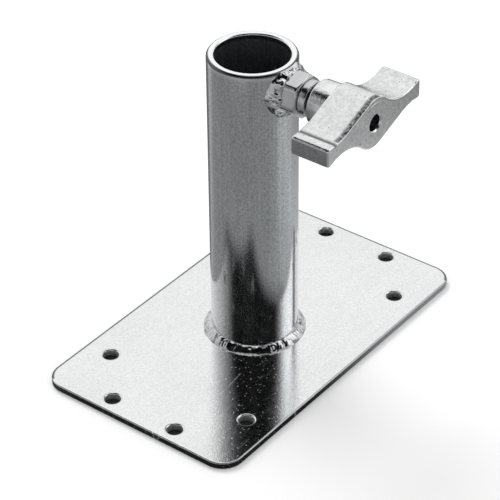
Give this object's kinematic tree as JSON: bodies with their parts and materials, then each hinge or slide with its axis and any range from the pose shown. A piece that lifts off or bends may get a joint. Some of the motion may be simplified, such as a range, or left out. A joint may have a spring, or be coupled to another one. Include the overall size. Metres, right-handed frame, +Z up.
{
  "type": "wall plate socket",
  "caption": "Flat rectangular plate with screw holes, a round socket tube welded upright on it, and a clamp screw with a cast T-handle near the tube's rim.",
  "frame": {"origin": "centre of the plate's back face", "axes": "+Z up the socket tube's axis, out of its mouth; +X along the plate's long side; the clamp screw leaves the tube along -Y"},
  "size_m": [0.155, 0.102, 0.1304],
  "materials": {
    "plate_steel": "satin bright",
    "tube_steel": "satin with fine lengthwise lines",
    "weld_metal": "smooth plated bead",
    "plated_hardware": "bright plated",
    "screw_steel": "plated thread",
    "handle_casting": "fine-grained plated casting"
  },
  "bodies": {
    "socket": {"base_plate": "plate_steel", "socket_tube": "tube_steel", "foot_weld": "weld_metal", "clamp_nut": "plated_hardware", "nut_weld": "weld_metal", "spacer_ring": "plated_hardware"},
    "screw": {"clamp_stud": "screw_steel"},
    "handle": {"t_handle": "handle_casting"}
  },
  "joints": [
    {"name": "screw_travel", "type": "slide", "parent": "socket", "child": "screw", "axis": [0, -1, 0], "range_m": [-0.0019, 0.00901]},
    {"name": "handle_turn", "type": "hinge", "parent": "screw", "child": "handle", "pos_m": [0, -0.04, 0.12], "axis": [0, -1, 0], "range_deg": [-450, 2160]}
  ],
  "couplings": [
    {"joint": "screw_travel", "follows": "handle_turn", "m_per_rad": 0.00023873}
  ]
}
